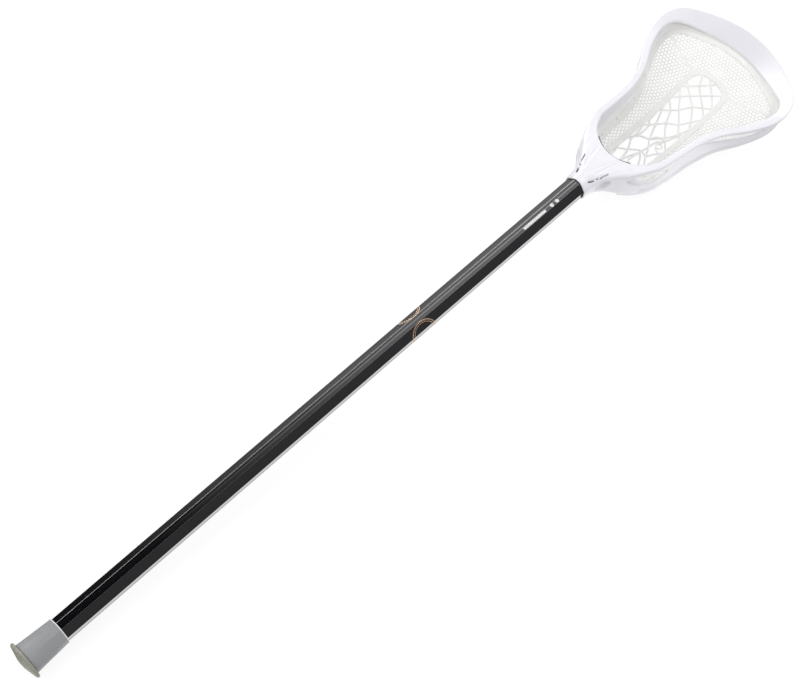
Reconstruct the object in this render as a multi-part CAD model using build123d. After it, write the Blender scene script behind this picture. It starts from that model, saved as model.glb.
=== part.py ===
from build123d import *
from math import atan2, cos, degrees, hypot, radians, sin
import os

os.makedirs("parts", exist_ok=True)

# Lacrosse stick, in millimetres. It is drawn along +X, with X = 0 at the butt end of the tube,
# Z towards the open side of the head and Y across it, and then laid on its back on Z = 0.

# Shaft: an eight-sided tube with slightly hollow sides.
SHAFT_LENGTH = 762.0
SHAFT_HALF_WIDTH = 11.2
SHAFT_HALF_HEIGHT = 13.0
FRONT_FLAT = 7.4
SIDE_FLAT = 10.0
SIDE_HOLLOW = 0.25
SHAFT_WALL = 1.3
SHAFT_EDGE_RADIUS = 0.9

# Butt end: a rubber sleeve over the tube, closed by a domed knob.
SLEEVE_LENGTH = 33.2
SLEEVE_SKIN = 0.8
SLEEVE_FOOT_RADIUS = 15.4
SLEEVE_CLEARANCE = 0.08
SLEEVE_FLOOR = 3.5
FLANGE_RADIUS = 19.0
FLANGE_RIM = 2.8
FLANGE_HEIGHT = 6.0
FLANGE_FACE_RADIUS = 5.0
PLUG_RADIUS = 8.0
PLUG_DEPTH = 6.0

# Head: distances along the head start at the mouth of the socket.
SOCKET_MOUTH_X = 713.5
SOCKET_DEPTH = 48.5
SOCKET_CLEARANCE = 0.05
HEAD_LENGTH = 316.0
BALL_STOP = 51.0
FOAM_THICKNESS = 1.8
FOAM_HALF_WIDTH = 23.0
FOAM_TOP = 12.4
FOAM_BOTTOM = -24.0

# Head screw, from the back of the socket into the tube.
SCREW_AT = 30.0
SCREW_RADIUS = 1.9
SCREW_HEAD_RADIUS = 3.6
SCREW_HEAD_HEIGHT = 2.4
SCREW_TOP = -8.5
SCREW_SEAT = -16.0
SCREW_CROSS_LENGTH = 4.2
SCREW_CROSS_WIDTH = 0.9
SCREW_CROSS_DEPTH = 1.3
SCREW_PLAY = 0.1

# Woven pocket.
CLOTH = 1.8
POCKET_LOW_AT = 155.0
POCKET_LOW_Z = -57.2
TAPE_WIDTH = 6.5
BAND_WIDTH = 7.0
STRAND_WIDTH = 1.9
PIN_RADIUS = 0.6
PIN_LENGTH = 9.0
PIN_BITE = 4.0

# Stations of one side wall, from the throat round to the middle of the scoop: distance along the
# head, distance out to the outer top edge, height of that edge, width of the front rail, its drop
# from the outer to the inner edge, height of the wall's foot, how far the foot stands inside the
# outer top edge, and width of the back rail.
WALL = [
    (44.0, 32.0, 13.2, 13.0, 0.0, -29.0, 3.5, 8.0),
    (62.0, 40.5, 11.6, 11.0, 0.0, -37.5, 2.8, 7.0),
    (84.0, 48.3, 7.6, 8.6, 0.0, -44.0, 2.6, 7.0),
    (112.0, 50.6, 0.5, 8.0, 0.0, -48.0, 1.0, 7.0),
    (150.0, 54.0, -6.5, 8.0, 0.0, -49.0, 0.4, 7.0),
    (180.0, 62.3, -9.6, 8.2, -0.3, -47.5, 1.2, 7.0),
    (210.0, 78.6, -11.6, 8.8, -1.0, -45.0, 2.4, 7.0),
    (240.0, 90.2, -12.8, 10.5, -2.5, -41.5, 3.2, 7.5),
    (263.0, 91.6, -13.0, 12.0, -5.0, -38.0, 5.0, 7.0),
    (284.0, 82.6, -12.9, 14.5, -8.5, -35.0, 9.0, 5.5),
    (301.0, 58.5, -12.6, 17.5, -12.0, -32.5, 12.5, 5.0),
    (312.5, 29.0, -12.2, 19.5, -14.0, -31.0, 15.0, 4.5),
    (HEAD_LENGTH, 0.0, -12.0, 20.0, -14.5, -30.6, 15.5, 4.5),
]
WALL_STEPS = 3
WEB_THICKNESS = 3.2
FRONT_RAIL_HEIGHT = 5.0
BACK_RAIL_HEIGHT = 6.0
LIP_HEIGHT = 4.5

# Throat stations: distance along the head, half-widths of the top, the shoulder and the underside,
# and the heights of the top, the upper shoulder, the lower shoulder and the underside.
THROAT = [
    (0.0, 4.6, 13.0, 4.6, 14.9, 6.2, -6.2, -14.9),
    (14.0, 7.0, 14.4, 6.5, 15.3, 8.6, -8.0, -15.6),
    (28.0, 16.5, 21.0, 13.0, 15.2, 12.0, -12.0, -18.6),
    (44.0, 28.5, 32.0, 24.0, 14.8, 11.6, -20.0, -26.0),
    (66.0, 38.5, 42.0, 35.0, 11.6, 8.5, -29.0, -36.0),
]

# Inner outline of the bowl at the throat, as distances along the head and out from the middle.
BOWL_MOUTH = [(BALL_STOP, 0.0), (53.5, 12.0), (59.5, 23.0), (70.0, 33.0), (86.0, 39.6), (104.0, 42.2)]

# Outlines in the side walls, as distance along the head and height: the two windows, and a blind
# recess beside the socket.
NEAR_WINDOW = [(46, 3.5), (52, 6.5), (60, 5.0), (72, -0.5), (85, -3.0), (99, -12.0), (104, -17.5),
               (96, -21.5), (84, -22.5), (75, -20.0), (64, -13.0), (54, -6.0), (47, 0.0)]
FAR_WINDOW = [(160, -11), (176, -12.5), (198, -15.5), (216, -18.5), (230, -22.0), (234, -24.5),
              (226, -26.3), (210, -27.0), (196, -26.5), (180, -23.5), (167, -17.5), (160, -13)]
THROAT_RECESS = [(9, 4.0), (20, 7.2), (30, 9.2), (32, 3.0), (26, -5.0), (15, -2.5)]
SIDE_REACH = 120.0

# Plan lines, as distance along the head and out, that the openings above are cut outside of.
WINDOW_DEPTH = [(40, 24.5), (260, 24.5)]
RECESS_DEPTH = [(5, 13.5), (36, 16.0)]

# Blind slots in the shoulders of the throat: distance along the head, distance out, length, angle.
THROAT_SLOTS = [(11.3, 9.4, 8.0, 23.0), (18.2, 12.0, 3.0, 20.0), (25.6, 15.1, 10.8, 17.0)]
SLOT_WIDTH = 2.0
SLOT_FLOOR = 10.0

# Edge of the pocket at the throat; round the side walls and the scoop it follows their inside.
POCKET_THROAT = [(56.5, 0.0), (59.5, 13.5), (66.0, 23.0), (76.5, 32.0), (91.0, 38.6)]
EDGE_GAP = 0.8

# Pocket cross-sections: distance along the head, half-width at the edge, height of the edge and
# height of the middle.
POCKET_SAG = [
    (56.0, 34.0, -31.0, -33.0),
    (80.0, 38.0, -37.5, -45.0),
    (110.0, 42.0, -42.5, -53.2),
    (POCKET_LOW_AT, 47.0, -44.0, POCKET_LOW_Z),
    (195.0, 60.0, -42.0, -56.0),
    (225.0, 74.0, -38.5, -48.0),
    (255.0, 80.0, -34.0, -38.5),
    (300.0, 80.0, -26.0, -27.4),
]
SAG_POWER = 3.0
SHEET_SPARE = 1.15

# Channel: half-width of its open middle at the throat and at its top, and where it ends.
CHANNEL_END = 250.0
CHANNEL_HALF_START = 17.0
CHANNEL_HALF_MID = 19.5
CHANNEL_HALF_END = 21.0

# Strands across the channel's opening, seen in plan: distance along the head and out from the
# middle. One family runs down to -Y, the other back to -Y, and the last ones lace the throat end.
STRANDS = [
    [(225, 23), (230, 17), (238.5, 7.5), (247, -1), (254, -8), (258, -13)],
    [(206, 24), (215, 15), (223, 7), (230.5, -1.5), (238.5, -11), (244, -18), (248, -23)],
    [(186, 22), (196, 11.5), (203, 5), (215, -4), (221.5, -13), (228, -23)],
    [(155, 21), (163.5, 15), (169.5, 10.5), (179.5, 3.5), (188.5, -7.5), (200.5, -15), (212, -24)],
    [(126, 21), (134, 17.5), (143, 12.5), (149, 2.5), (163.5, -8), (172, -13), (192, -20.5)],
    [(104, 22), (107.5, 19), (117.5, 9), (128, -1.5), (127, -10), (136.5, -15), (146, -22)],
    [(256, 8), (247, -1), (238.5, -11), (227, -22), (222, -27)],
    [(252, 17.5), (247.5, 12.5), (238.5, 7.5), (230.5, -1.5), (221.5, -13), (212, -24)],
    [(234, 23), (230, 17), (223, 7), (215, -4), (200.5, -15), (192, -20.5), (186, -24)],
    [(226, 25), (215, 15), (203, 5), (188.5, -7.5), (178, -16), (172, -23)],
    [(206, 23), (196, 11.5), (179.5, 3.5), (163.5, -8), (148, -22)],
    [(198, 22), (169.5, 10.5), (149, 2.5), (135, -6.5), (127, -10), (109, -20)],
    [(190, 22), (167, 18.5), (163.5, 15), (145, 14), (134, 17.5)],
    [(166, 21), (142, 16.5), (133, 16.5), (117.5, 9), (99, 5), (76, 3)],
    [(76, 12), (92.5, 16), (106, 18), (112, 22)],
    [(80, -10), (104.5, -1.5), (119, -1.5), (137.5, -4), (150.5, -5.5), (158, -11), (180, -18)],
    [(76, -3), (97, 3.5), (112.5, 2), (124, -3), (119, -8), (109, -13), (96, -22)],
    [(149, 2.5), (157.5, -2.5), (159.5, -11.5), (149, -8), (142.5, -12), (138, -22)],
]


def head_x(along):
    """Place along the stick of a distance along the head."""
    return SOCKET_MOUTH_X + along


def section_face(points, plane):
    """Flat polygon on a plane, from corner points in order."""
    return plane * make_face(Polyline(*points, close=True))


def arc_ring(corners, bulge):
    """Closed outline of one arc per side; a positive bulge swells the sides."""
    arcs = []
    for (y0, z0), (y1, z1) in zip(corners, corners[1:] + corners[:1]):
        mid_y = (y0 + y1) / 2
        mid_z = (z0 + z1) / 2
        reach = hypot(mid_y, mid_z)
        scale = (reach + bulge) / reach
        arcs.append(ThreePointArc((y0, z0), (mid_y * scale, mid_z * scale), (y1, z1)))
    return make_face(arcs)


def shaft_corners(grow=0.0):
    """The eight corners of the tube's section, moved out by grow."""
    wide = SHAFT_HALF_WIDTH + grow
    tall = SHAFT_HALF_HEIGHT + grow
    front = FRONT_FLAT / 2 + grow * 0.4
    side = SIDE_FLAT / 2 + grow * 0.4
    return [(front, tall), (wide, side), (wide, -side), (front, -tall),
            (-front, -tall), (-wide, -side), (-wide, side), (-front, tall)]


def shaft_section(grow=0.0):
    """Section of the tube's outside, moved out by grow, with its edges eased."""
    outline = arc_ring(shaft_corners(grow), -SIDE_HOLLOW)
    return fillet(outline.vertices(), SHAFT_EDGE_RADIUS)


def prism_along_x(section, start, end):
    """Solid with one section from start to end along the stick."""
    return extrude(Plane.YZ.offset(start) * section, end - start)


def make_shaft_tube():
    """Eight-sided tube with a hole for the head screw in its back flat."""
    tube = prism_along_x(shaft_section(), 0, SHAFT_LENGTH)
    tube -= prism_along_x(shaft_section(-SHAFT_WALL), -1, SHAFT_LENGTH + 1)
    hole = Cylinder(SCREW_RADIUS + 0.05, 8)
    return tube - Pos(head_x(SCREW_AT), 0, -SHAFT_HALF_HEIGHT) * hole


def make_butt_sleeve():
    """Rubber sleeve: it follows the tube at its lip and is round at its foot."""
    lip = arc_ring(shaft_corners(SLEEVE_SKIN), 0.15)
    angles = [atan2(z, y) for y, z in shaft_corners()]
    foot_arcs = []
    for a0, a1 in zip(angles, angles[1:] + angles[:1]):
        turn = (a1 - a0 + 6 * radians(180)) % radians(360) - radians(360)
        mid = a0 + turn / 2
        start = (SLEEVE_FOOT_RADIUS * cos(a0), SLEEVE_FOOT_RADIUS * sin(a0))
        middle = (SLEEVE_FOOT_RADIUS * cos(mid), SLEEVE_FOOT_RADIUS * sin(mid))
        end = (SLEEVE_FOOT_RADIUS * cos(a1), SLEEVE_FOOT_RADIUS * sin(a1))
        foot_arcs.append(ThreePointArc(start, middle, end))
    foot = make_face(foot_arcs)
    body = loft([Plane.YZ.offset(-SLEEVE_FLOOR) * foot, Plane.YZ.offset(SLEEVE_LENGTH) * lip])
    body -= prism_along_x(shaft_section(SLEEVE_CLEARANCE), 0, SLEEVE_LENGTH + 1)
    return body - Rot(0, 90, 0) * Cylinder(PLUG_RADIUS, 4 * SLEEVE_FLOOR)


def make_butt_flange():
    """Domed rubber knob, with a plug that keys it into the sleeve and the tube."""
    back = -SLEEVE_FLOOR
    profile = Polyline(
        (0, back - FLANGE_HEIGHT),
        (FLANGE_FACE_RADIUS, back - FLANGE_HEIGHT),
        (FLANGE_RADIUS - 1.4, back - FLANGE_RIM - 0.5),
        (FLANGE_RADIUS, back - FLANGE_RIM + 0.6),
        (FLANGE_RADIUS, back - 0.8),
        (FLANGE_RADIUS - 0.8, back),
        (PLUG_RADIUS, back),
        (PLUG_RADIUS, PLUG_DEPTH),
        (0, PLUG_DEPTH),
        close=True,
    )
    knob = revolve(Plane.XZ * make_face(profile), Axis.Z)
    return Rot(0, 90, 0) * knob


def wall_stations():
    """The wall's stations with smooth steps between them, each with its plan direction."""
    tip = WALL[-2]
    beyond = (tip[0], -tip[1]) + tip[2:]
    behind = tuple(2 * p - q for p, q in zip(WALL[0], WALL[1]))
    line = [behind] + WALL + [beyond]
    places = [0.0]
    for p, q in zip(line, line[1:]):
        places.append(places[-1] + hypot(q[0] - p[0], q[1] - p[1]))
    slopes = []
    for i in range(1, len(line) - 1):
        run = places[i + 1] - places[i - 1]
        slopes.append([(q - p) / run for p, q in zip(line[i - 1], line[i + 1])])
    stations = []
    for i, (p, q) in enumerate(zip(WALL, WALL[1:])):
        span = places[i + 2] - places[i + 1]
        for step in range(WALL_STEPS):
            t = step / WALL_STEPS
            stations.append(hermite(p, q, slopes[i], slopes[i + 1], span, t))
    stations.append(hermite(WALL[-2], WALL[-1], slopes[-2], slopes[-1], span, 1.0))
    return stations


def hermite(start, end, start_slope, end_slope, span, t):
    """Station at a share t of a span, and its unit direction in plan."""
    values = []
    rates = []
    for p, q, m, n in zip(start, end, start_slope, end_slope):
        m = m * span
        n = n * span
        values.append((2 * t**3 - 3 * t**2 + 1) * p + (t**3 - 2 * t**2 + t) * m
                      + (3 * t**2 - 2 * t**3) * q + (t**3 - t**2) * n)
        rates.append((6 * t**2 - 6 * t) * (p - q) + (3 * t**2 - 4 * t + 1) * m
                     + (3 * t**2 - 2 * t) * n)
    length = hypot(rates[0], rates[1])
    return values, (rates[0] / length, rates[1] / length)


def wall_section(station, tangent):
    """Section of the side wall: front rail, thin web and back rail. It flattens to the scoop."""
    along, out, top, rail, drop, foot, inset, base = station
    slope = min(1.0, max(0.0, (inset - 3.0) / 12.5))
    inner_top = top + drop
    web_top_in = inset * 0.25 + WEB_THICKNESS
    web_top_in += slope * (rail - 1.0 - web_top_in)
    web_low_in = inset + WEB_THICKNESS + slope * (base - WEB_THICKNESS - 0.4)
    lip = LIP_HEIGHT - 1.8 * slope
    points = [
        (0.0, top),
        (rail, inner_top),
        (rail - 0.2, inner_top - FRONT_RAIL_HEIGHT + 3.6 * slope),
        (web_top_in, inner_top - 1.5 * FRONT_RAIL_HEIGHT + 5.4 * slope),
        (web_low_in, foot + 1.5 * BACK_RAIL_HEIGHT - 7.2 * slope),
        (inset + base, foot + BACK_RAIL_HEIGHT - 4.8 * slope),
        (inset + base - 0.2, foot),
        (inset, foot),
        (0.3, top - lip),
    ]
    inward = (tangent[1], -tangent[0], 0)
    plane = Plane(
        origin=(head_x(along), out, 0),
        x_dir=inward,
        z_dir=(-tangent[0], -tangent[1], 0),
    )
    return section_face(points, plane)


def make_half_wall():
    """Side wall and half of the scoop, on the +Y side."""
    return loft([wall_section(station, tangent) for station, tangent in wall_stations()])


def throat_section(station):
    """Eight-sided section of the throat across the stick."""
    along, top_half, mid_half, low_half, top, upper, lower, low = station
    right = [(top_half, top), (mid_half, upper), (mid_half, lower), (low_half, low)]
    left = [(-y, z) for y, z in reversed(right)]
    return section_face(right + left, Plane.YZ.offset(head_x(along)))


def mirrored_outline(points):
    """Outline from points on the +Y side, from one middle point to the other, and their mirror."""
    other = [(x, -y) for x, y in points[1:-1]]
    return points + list(reversed(other))


def moved_in(points, depth):
    """The same closed outline, moved in by depth; the points run clockwise seen along -Z."""
    moved = []
    for before, (x, y), after in zip(points[-1:] + points[:-1], points, points[1:] + points[:1]):
        length = hypot(after[0] - before[0], after[1] - before[1])
        moved.append((x + (after[1] - before[1]) / length * depth,
                      y - (after[0] - before[0]) / length * depth))
    return moved


def plan_face(points):
    """Face inside a smooth closed outline, seen along Z."""
    return make_face(Spline(*[(head_x(x), y) for x, y in points], periodic=True))


def bowl_mouth_face():
    """Plan face of the bowl at the throat, used to hollow the ball-stop wall."""
    half = [(head_x(x), y) for x, y in BOWL_MOUTH]
    other = [(x, -y) for x, y in reversed(half[1:])]
    curve = Spline(*(other + half))
    return make_face([curve, Line(curve @ 1, curve @ 0)])


def side_window(points, inner):
    """Cutter for both sides, outside the plan line inner, from an outline in the XZ plane."""
    outline = Spline(*[(head_x(x), z) for x, z in points], periodic=True)
    side = extrude(Plane.XZ * make_face(outline), -SIDE_REACH)
    (x0, y0), (x1, y1) = inner
    corners = [(x0, y0), (x1, y1), (x1, SIDE_REACH), (x0, SIDE_REACH)]
    plan = Polyline(*[(head_x(x), y) for x, y in corners], close=True)
    right = side & Pos(0, 0, -SIDE_REACH / 2) * extrude(make_face(plan), SIDE_REACH)
    return right + mirror(right, Plane.XZ)


def throat_slot(along, out, length, angle):
    """Narrow blind slot in each shoulder of the throat."""
    slot = extrude(SlotOverall(length, SLOT_WIDTH), SHAFT_HALF_HEIGHT)
    right = Pos(head_x(along), out, SLOT_FLOOR) * Rot(0, 0, angle) * slot
    return right + mirror(right, Plane.XZ)


def make_head_frame(pins):
    """One moulding: socket, throat, ball-stop wall, two side walls and the scoop."""
    half = make_half_wall()
    throat = loft([throat_section(s) for s in THROAT])
    frame = throat + half + mirror(half, Plane.XZ)
    frame -= Pos(0, 0, -60) * extrude(bowl_mouth_face(), 120)
    frame -= prism_along_x(shaft_section(SOCKET_CLEARANCE), head_x(-5), head_x(SOCKET_DEPTH))
    frame -= side_window(NEAR_WINDOW, WINDOW_DEPTH)
    frame -= side_window(FAR_WINDOW, WINDOW_DEPTH)
    frame -= side_window(THROAT_RECESS, RECESS_DEPTH)
    for slot in THROAT_SLOTS:
        frame -= throat_slot(*slot)
    screw_way = Cylinder(SCREW_RADIUS + SCREW_PLAY, 20)
    screw_way += Pos(0, 0, -10) * Cylinder(SCREW_HEAD_RADIUS + 2 * SCREW_PLAY, 20)
    frame -= Pos(head_x(SCREW_AT), 0, SCREW_SEAT) * screw_way
    for pin in pins:
        frame -= pin
    return frame


def make_head_screw():
    """Self-tapping screw: a pan head with a cross recess, and a plain shank."""
    shank_length = SCREW_TOP - SCREW_SEAT
    shank = Pos(0, 0, shank_length / 2) * Cylinder(SCREW_RADIUS, shank_length)
    head = Pos(0, 0, -SCREW_HEAD_HEIGHT / 2) * Cylinder(SCREW_HEAD_RADIUS, SCREW_HEAD_HEIGHT)
    head = fillet(head.edges().group_by(Axis.Z)[0], 1.0)
    cross = Box(SCREW_CROSS_LENGTH, SCREW_CROSS_WIDTH, 2 * SCREW_CROSS_DEPTH)
    cross += Rot(0, 0, 90) * cross
    screw = shank + head - Pos(0, 0, -SCREW_HEAD_HEIGHT) * cross
    return Pos(head_x(SCREW_AT), 0, SCREW_SEAT) * screw


def make_ball_stop_pad():
    """Thin foam strip against the curved ball-stop wall."""
    wall = bowl_mouth_face()
    strip = Pos(0, 0, FOAM_BOTTOM) * extrude(wall, FOAM_TOP - FOAM_BOTTOM)
    inside = Pos(FOAM_THICKNESS, 0, FOAM_BOTTOM - 1) * extrude(wall, FOAM_TOP - FOAM_BOTTOM + 2)
    block = Box(40, 2 * FOAM_HALF_WIDTH, 60)
    return (strip - inside) & Pos(head_x(BALL_STOP) + 12, 0, 0) * block


def pocket_section(station, shift):
    """Curve of the pocket across the head at one station, moved down by shift."""
    along, half, edge, middle = station
    points = []
    for step in range(-5, 6):
        reach = SHEET_SPARE * abs(step) / 5
        height = middle + (edge - middle) * reach ** SAG_POWER
        points.append((half * SHEET_SPARE * step / 5, height - shift))
    return points


def make_pocket_sheet():
    """The whole woven sheet, wider than the pocket, before it is cut to its outlines."""
    sections = []
    for station in POCKET_SAG:
        upper = Spline(*pocket_section(station, 0.0))
        under = Spline(*reversed(pocket_section(station, CLOTH)))
        ends = [Line(upper @ 1, under @ 0), Line(under @ 1, upper @ 0)]
        sections.append(Plane.YZ.offset(head_x(station[0])) * make_face([upper, under] + ends))
    return loft(sections)


def column(face):
    """Upright solid over a plan face, tall enough to cut the pocket."""
    return Pos(0, 0, -90) * extrude(face, 90)


def channel_outline(grow):
    """Arch-shaped outline of the channel, moved out by grow."""
    low = CHANNEL_HALF_START + grow
    mid = CHANNEL_HALF_MID + grow
    high = CHANNEL_HALF_END + grow
    end = CHANNEL_END + grow
    right = Spline((head_x(40), low), (head_x(150), mid), (head_x(end - 10), high))
    top = Spline(
        (head_x(end - 10), high), (head_x(end - 2.5), high - 5),
        (head_x(end + 1.5), 0), (head_x(end - 2.5), 5 - high), (head_x(end - 10), -high),
        tangents=[(1, 0.02), (-1, 0.02)],
    )
    left = mirror(right, Plane.XZ)
    foot = Line((head_x(40), low), (head_x(40), -low))
    return make_face([right, top, left, foot])


def lattice_face():
    """Plan of the strands: straight runs between the points where they cross."""
    strands = Sketch()
    for points in STRANDS:
        for (x0, y0), (x1, y1) in zip(points, points[1:]):
            run = SlotCenterToCenter(hypot(x1 - x0, y1 - y0), STRAND_WIDTH)
            heading = degrees(atan2(y1 - y0, x1 - x0))
            strands += Pos(head_x((x0 + x1) / 2), (y0 + y1) / 2) * Rot(0, 0, heading) * run
    return strands


def pocket_edge():
    """Half of the pocket's outline, from the throat round to the middle of the scoop."""
    points = list(POCKET_THROAT)
    for station, tangent in wall_stations()[3 * WALL_STEPS::WALL_STEPS]:
        along, out, _, rail, _, _, inset, base = station
        depth = max(rail, inset + base) + EDGE_GAP
        points.append((along + tangent[1] * depth, out - tangent[0] * depth))
    return points


def make_pocket_pins():
    """Small pins that tie the pocket's border to the back rails and the scoop, on both sides."""
    edge = pocket_edge()
    pins = []
    for (x0, y0), (x1, y1) in zip(edge[4:-1], edge[5:]):
        heading = degrees(atan2(y1 - y0, x1 - x0))
        along = (x0 + x1) / 2
        pin = Rot(90, 0, 0) * Cylinder(PIN_RADIUS, PIN_LENGTH)
        height = pocket_height(along, (y0 + y1) / 2) - CLOTH / 2
        place = Pos(head_x(along), (y0 + y1) / 2, height) * Rot(0, 0, heading)
        pins.append(place * Pos(0, PIN_LENGTH / 2 - PIN_BITE, 0) * pin)
    return pins + [mirror(pin, Plane.XZ) for pin in pins]


def pocket_height(along, out):
    """Height of the pocket's upper side, between the stations on either side."""
    for before, after in zip(POCKET_SAG, POCKET_SAG[1:]):
        if before[0] <= along <= after[0]:
            share = (along - before[0]) / (after[0] - before[0])
            half, edge, middle = [p + share * (q - p) for p, q in zip(before[1:], after[1:])]
            return middle + (edge - middle) * (abs(out) / half) ** SAG_POWER
    return POCKET_SAG[-1][2]


def make_pocket(pins):
    """The woven pocket as its four zones: border tape, fine mesh, channel band and open lattice."""
    sheet = make_pocket_sheet()
    edge = mirrored_outline(pocket_edge())
    outline = plan_face(edge)
    inner = plan_face(moved_in(edge, TAPE_WIDTH))
    band = channel_outline(BAND_WIDTH)
    channel = channel_outline(0.0)
    zones = {
        "pocket_edge_tape": outline - inner,
        "pocket_mesh_panel": inner - band,
        "pocket_channel_band": (band - channel) & inner,
        "pocket_channel_lattice": lattice_face() & channel & inner,
    }
    pieces = {name: sheet & column(face) for name, face in zones.items()}
    for pin in pins:
        pieces["pocket_edge_tape"] -= pin
    return pieces


def lay_down(shape):
    """Turn the stick so that the knob and the pocket both touch the level surface."""
    flange_x = -SLEEVE_FLOOR - 0.8
    rise = (POCKET_LOW_Z - CLOTH) - (-FLANGE_RADIUS)
    run = head_x(POCKET_LOW_AT) - flange_x
    return Rot(0, degrees(atan2(rise, run)), 0) * shape


def main():
    """Make every piece, lay the stick down and centre it, and write one file per piece."""
    pins = make_pocket_pins()
    pieces = {
        "head_frame": make_head_frame(pins),
        "ball_stop_pad": make_ball_stop_pad(),
        "pocket_pins": Compound(pins),
        "head_screw": make_head_screw(),
        "shaft_tube": make_shaft_tube(),
        "butt_sleeve": make_butt_sleeve(),
        "butt_flange": make_butt_flange(),
    }
    pieces.update(make_pocket(pins))
    laid = {name: lay_down(piece) for name, piece in pieces.items()}
    boxes = [piece.bounding_box() for piece in laid.values()]
    middle_x = (min(box.min.X for box in boxes) + max(box.max.X for box in boxes)) / 2
    lowest = min(box.min.Z for box in boxes)
    for name, piece in laid.items():
        export_step(Pos(-middle_x, 0, -lowest) * piece, "parts/" + name + ".step")
    print("origin along the stick", middle_x, "height of the surface", lowest)


main()
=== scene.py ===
import math
import random

import bmesh
import bpy
import numpy as np
from mathutils import Euler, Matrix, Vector


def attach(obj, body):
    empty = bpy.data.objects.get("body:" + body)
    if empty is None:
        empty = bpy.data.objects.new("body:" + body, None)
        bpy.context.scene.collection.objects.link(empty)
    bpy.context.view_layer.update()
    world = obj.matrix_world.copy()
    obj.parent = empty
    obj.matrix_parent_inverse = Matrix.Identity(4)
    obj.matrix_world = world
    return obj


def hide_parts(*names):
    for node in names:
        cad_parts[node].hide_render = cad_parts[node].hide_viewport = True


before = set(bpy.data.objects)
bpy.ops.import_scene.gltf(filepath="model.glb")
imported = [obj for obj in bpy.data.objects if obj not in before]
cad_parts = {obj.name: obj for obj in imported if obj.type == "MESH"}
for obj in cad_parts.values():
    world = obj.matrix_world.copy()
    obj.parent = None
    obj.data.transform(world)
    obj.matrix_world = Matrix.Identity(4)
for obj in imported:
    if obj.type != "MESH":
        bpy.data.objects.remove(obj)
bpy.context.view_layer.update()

# The stick is built along X in millimetres: X = 0 at the butt end of the tube, Z towards the open
# side of the head, Y across it. stick_to_row() lays it down as the CAD does, in metres.
TILT = math.atan2(-40.0, 872.8)
ROW_X = -509.6255
ROW_Z = 19.2410
SOCKET_MOUTH_X = 713.5

# Shaft section: half-widths of the eight-sided tube, and of its front and side flats.
SHAFT_WIDE = 11.2
SHAFT_TALL = 13.0
FRONT_HALF = 3.7
SIDE_HALF = 5.0
FACET_WIDE = SHAFT_WIDE - FRONT_HALF
FACET_TALL = SHAFT_TALL - SIDE_HALF
FACET = math.hypot(FACET_WIDE, FACET_TALL)
SIDE_DIP = 0.15
FRONT_DIP = 0.25
SOCKET_DEPTH = 48.5

# Side wall of the head, as in the CAD, with millimetres from the socket's mouth: distance along the
# head, out to the outer top edge, its height, rail width, drop of the rail, height of the foot, inset
# of the foot, width of the foot.
WALL = [
    (44.0, 32.0, 13.2, 13.0, 0.0, -29.0, 3.5, 8.0),
    (62.0, 40.5, 11.6, 11.0, 0.0, -37.5, 2.8, 7.0),
    (84.0, 48.3, 7.6, 8.6, 0.0, -44.0, 2.6, 7.0),
    (112.0, 50.6, 0.5, 8.0, 0.0, -48.0, 1.0, 7.0),
    (150.0, 54.0, -6.5, 8.0, 0.0, -49.0, 0.4, 7.0),
    (180.0, 62.3, -9.6, 8.2, -0.3, -47.5, 1.2, 7.0),
    (210.0, 78.6, -11.6, 8.8, -1.0, -45.0, 2.4, 7.0),
    (240.0, 90.2, -12.8, 10.5, -2.5, -41.5, 3.2, 7.5),
    (263.0, 91.6, -13.0, 12.0, -5.0, -38.0, 5.0, 7.0),
    (284.0, 82.6, -12.9, 14.5, -8.5, -35.0, 9.0, 5.5),
    (301.0, 58.5, -12.6, 17.5, -12.0, -32.5, 12.5, 5.0),
    (312.5, 29.0, -12.2, 19.5, -14.0, -31.0, 15.0, 4.5),
    (316.0, 0.0, -12.0, 20.0, -14.5, -30.6, 15.5, 4.5),
]
# Throat: distance along the head, half-widths at the top, middle and low, and the four heights.
THROAT = [
    (0.0, 4.6, 13.0, 4.6, 14.9, 6.2, -6.2, -14.9),
    (14.0, 7.0, 14.4, 6.5, 15.3, 8.6, -8.0, -15.6),
    (28.0, 16.5, 21.0, 13.0, 15.2, 12.0, -12.0, -18.6),
    (44.0, 28.5, 32.0, 24.0, 14.8, 11.6, -20.0, -26.0),
    (66.0, 38.5, 42.0, 35.0, 11.6, 8.5, -29.0, -36.0),
]
# Cuts: the bowl's mouth in plan, windows and recess from the side, slots (along, out, long, turn).
BOWL_MOUTH = [(51.0, 0.0), (53.5, 12.0), (59.5, 23.0), (70.0, 33.0), (86.0, 39.6), (104.0, 42.2)]
NEAR_WINDOW = [(46, 3.5), (52, 6.5), (60, 5.0), (72, -0.5), (85, -3.0), (99, -12.0), (104, -17.5),
               (96, -21.5), (84, -22.5), (75, -20.0), (64, -13.0), (54, -6.0), (47, 0.0)]
FAR_WINDOW = [(160, -11), (176, -12.5), (198, -15.5), (216, -18.5), (230, -22.0), (234, -24.5),
              (226, -26.3), (210, -27.0), (196, -26.5), (180, -23.5), (167, -17.5), (160, -13)]
THROAT_RECESS = [(9, 4.0), (20, 7.2), (30, 9.2), (32, 3.0), (26, -5.0), (15, -2.5)]
WINDOW_DEPTH = 24.5
RECESS = 1.3
THROAT_SLOTS = [(11.3, 9.4, 8.0, 23.0), (18.2, 12.0, 3.0, 20.0), (25.6, 15.1, 10.8, 17.0)]
SLOT_HALF_WIDTH = 1.1
SLOT_FLOOR = 6.0
SCREW_AT = 30.0
SCREW_HOLES = [(2.0, -30, -8), (3.8, -30, -16)]
CREASES = [((14, 6.2), (50, 14.5), 0.6, 0.9), ((14, -6.2), (50, -14.5), 0.6, 0.9),
           ((30, 19), (60, 31), 0.5, 0.9), ((30, -19), (60, -31), 0.5, 0.9),
           ((18, -1.6), (44, -9.0), 0.4, 0.8)]
PAD_LOW = -23.8
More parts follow.
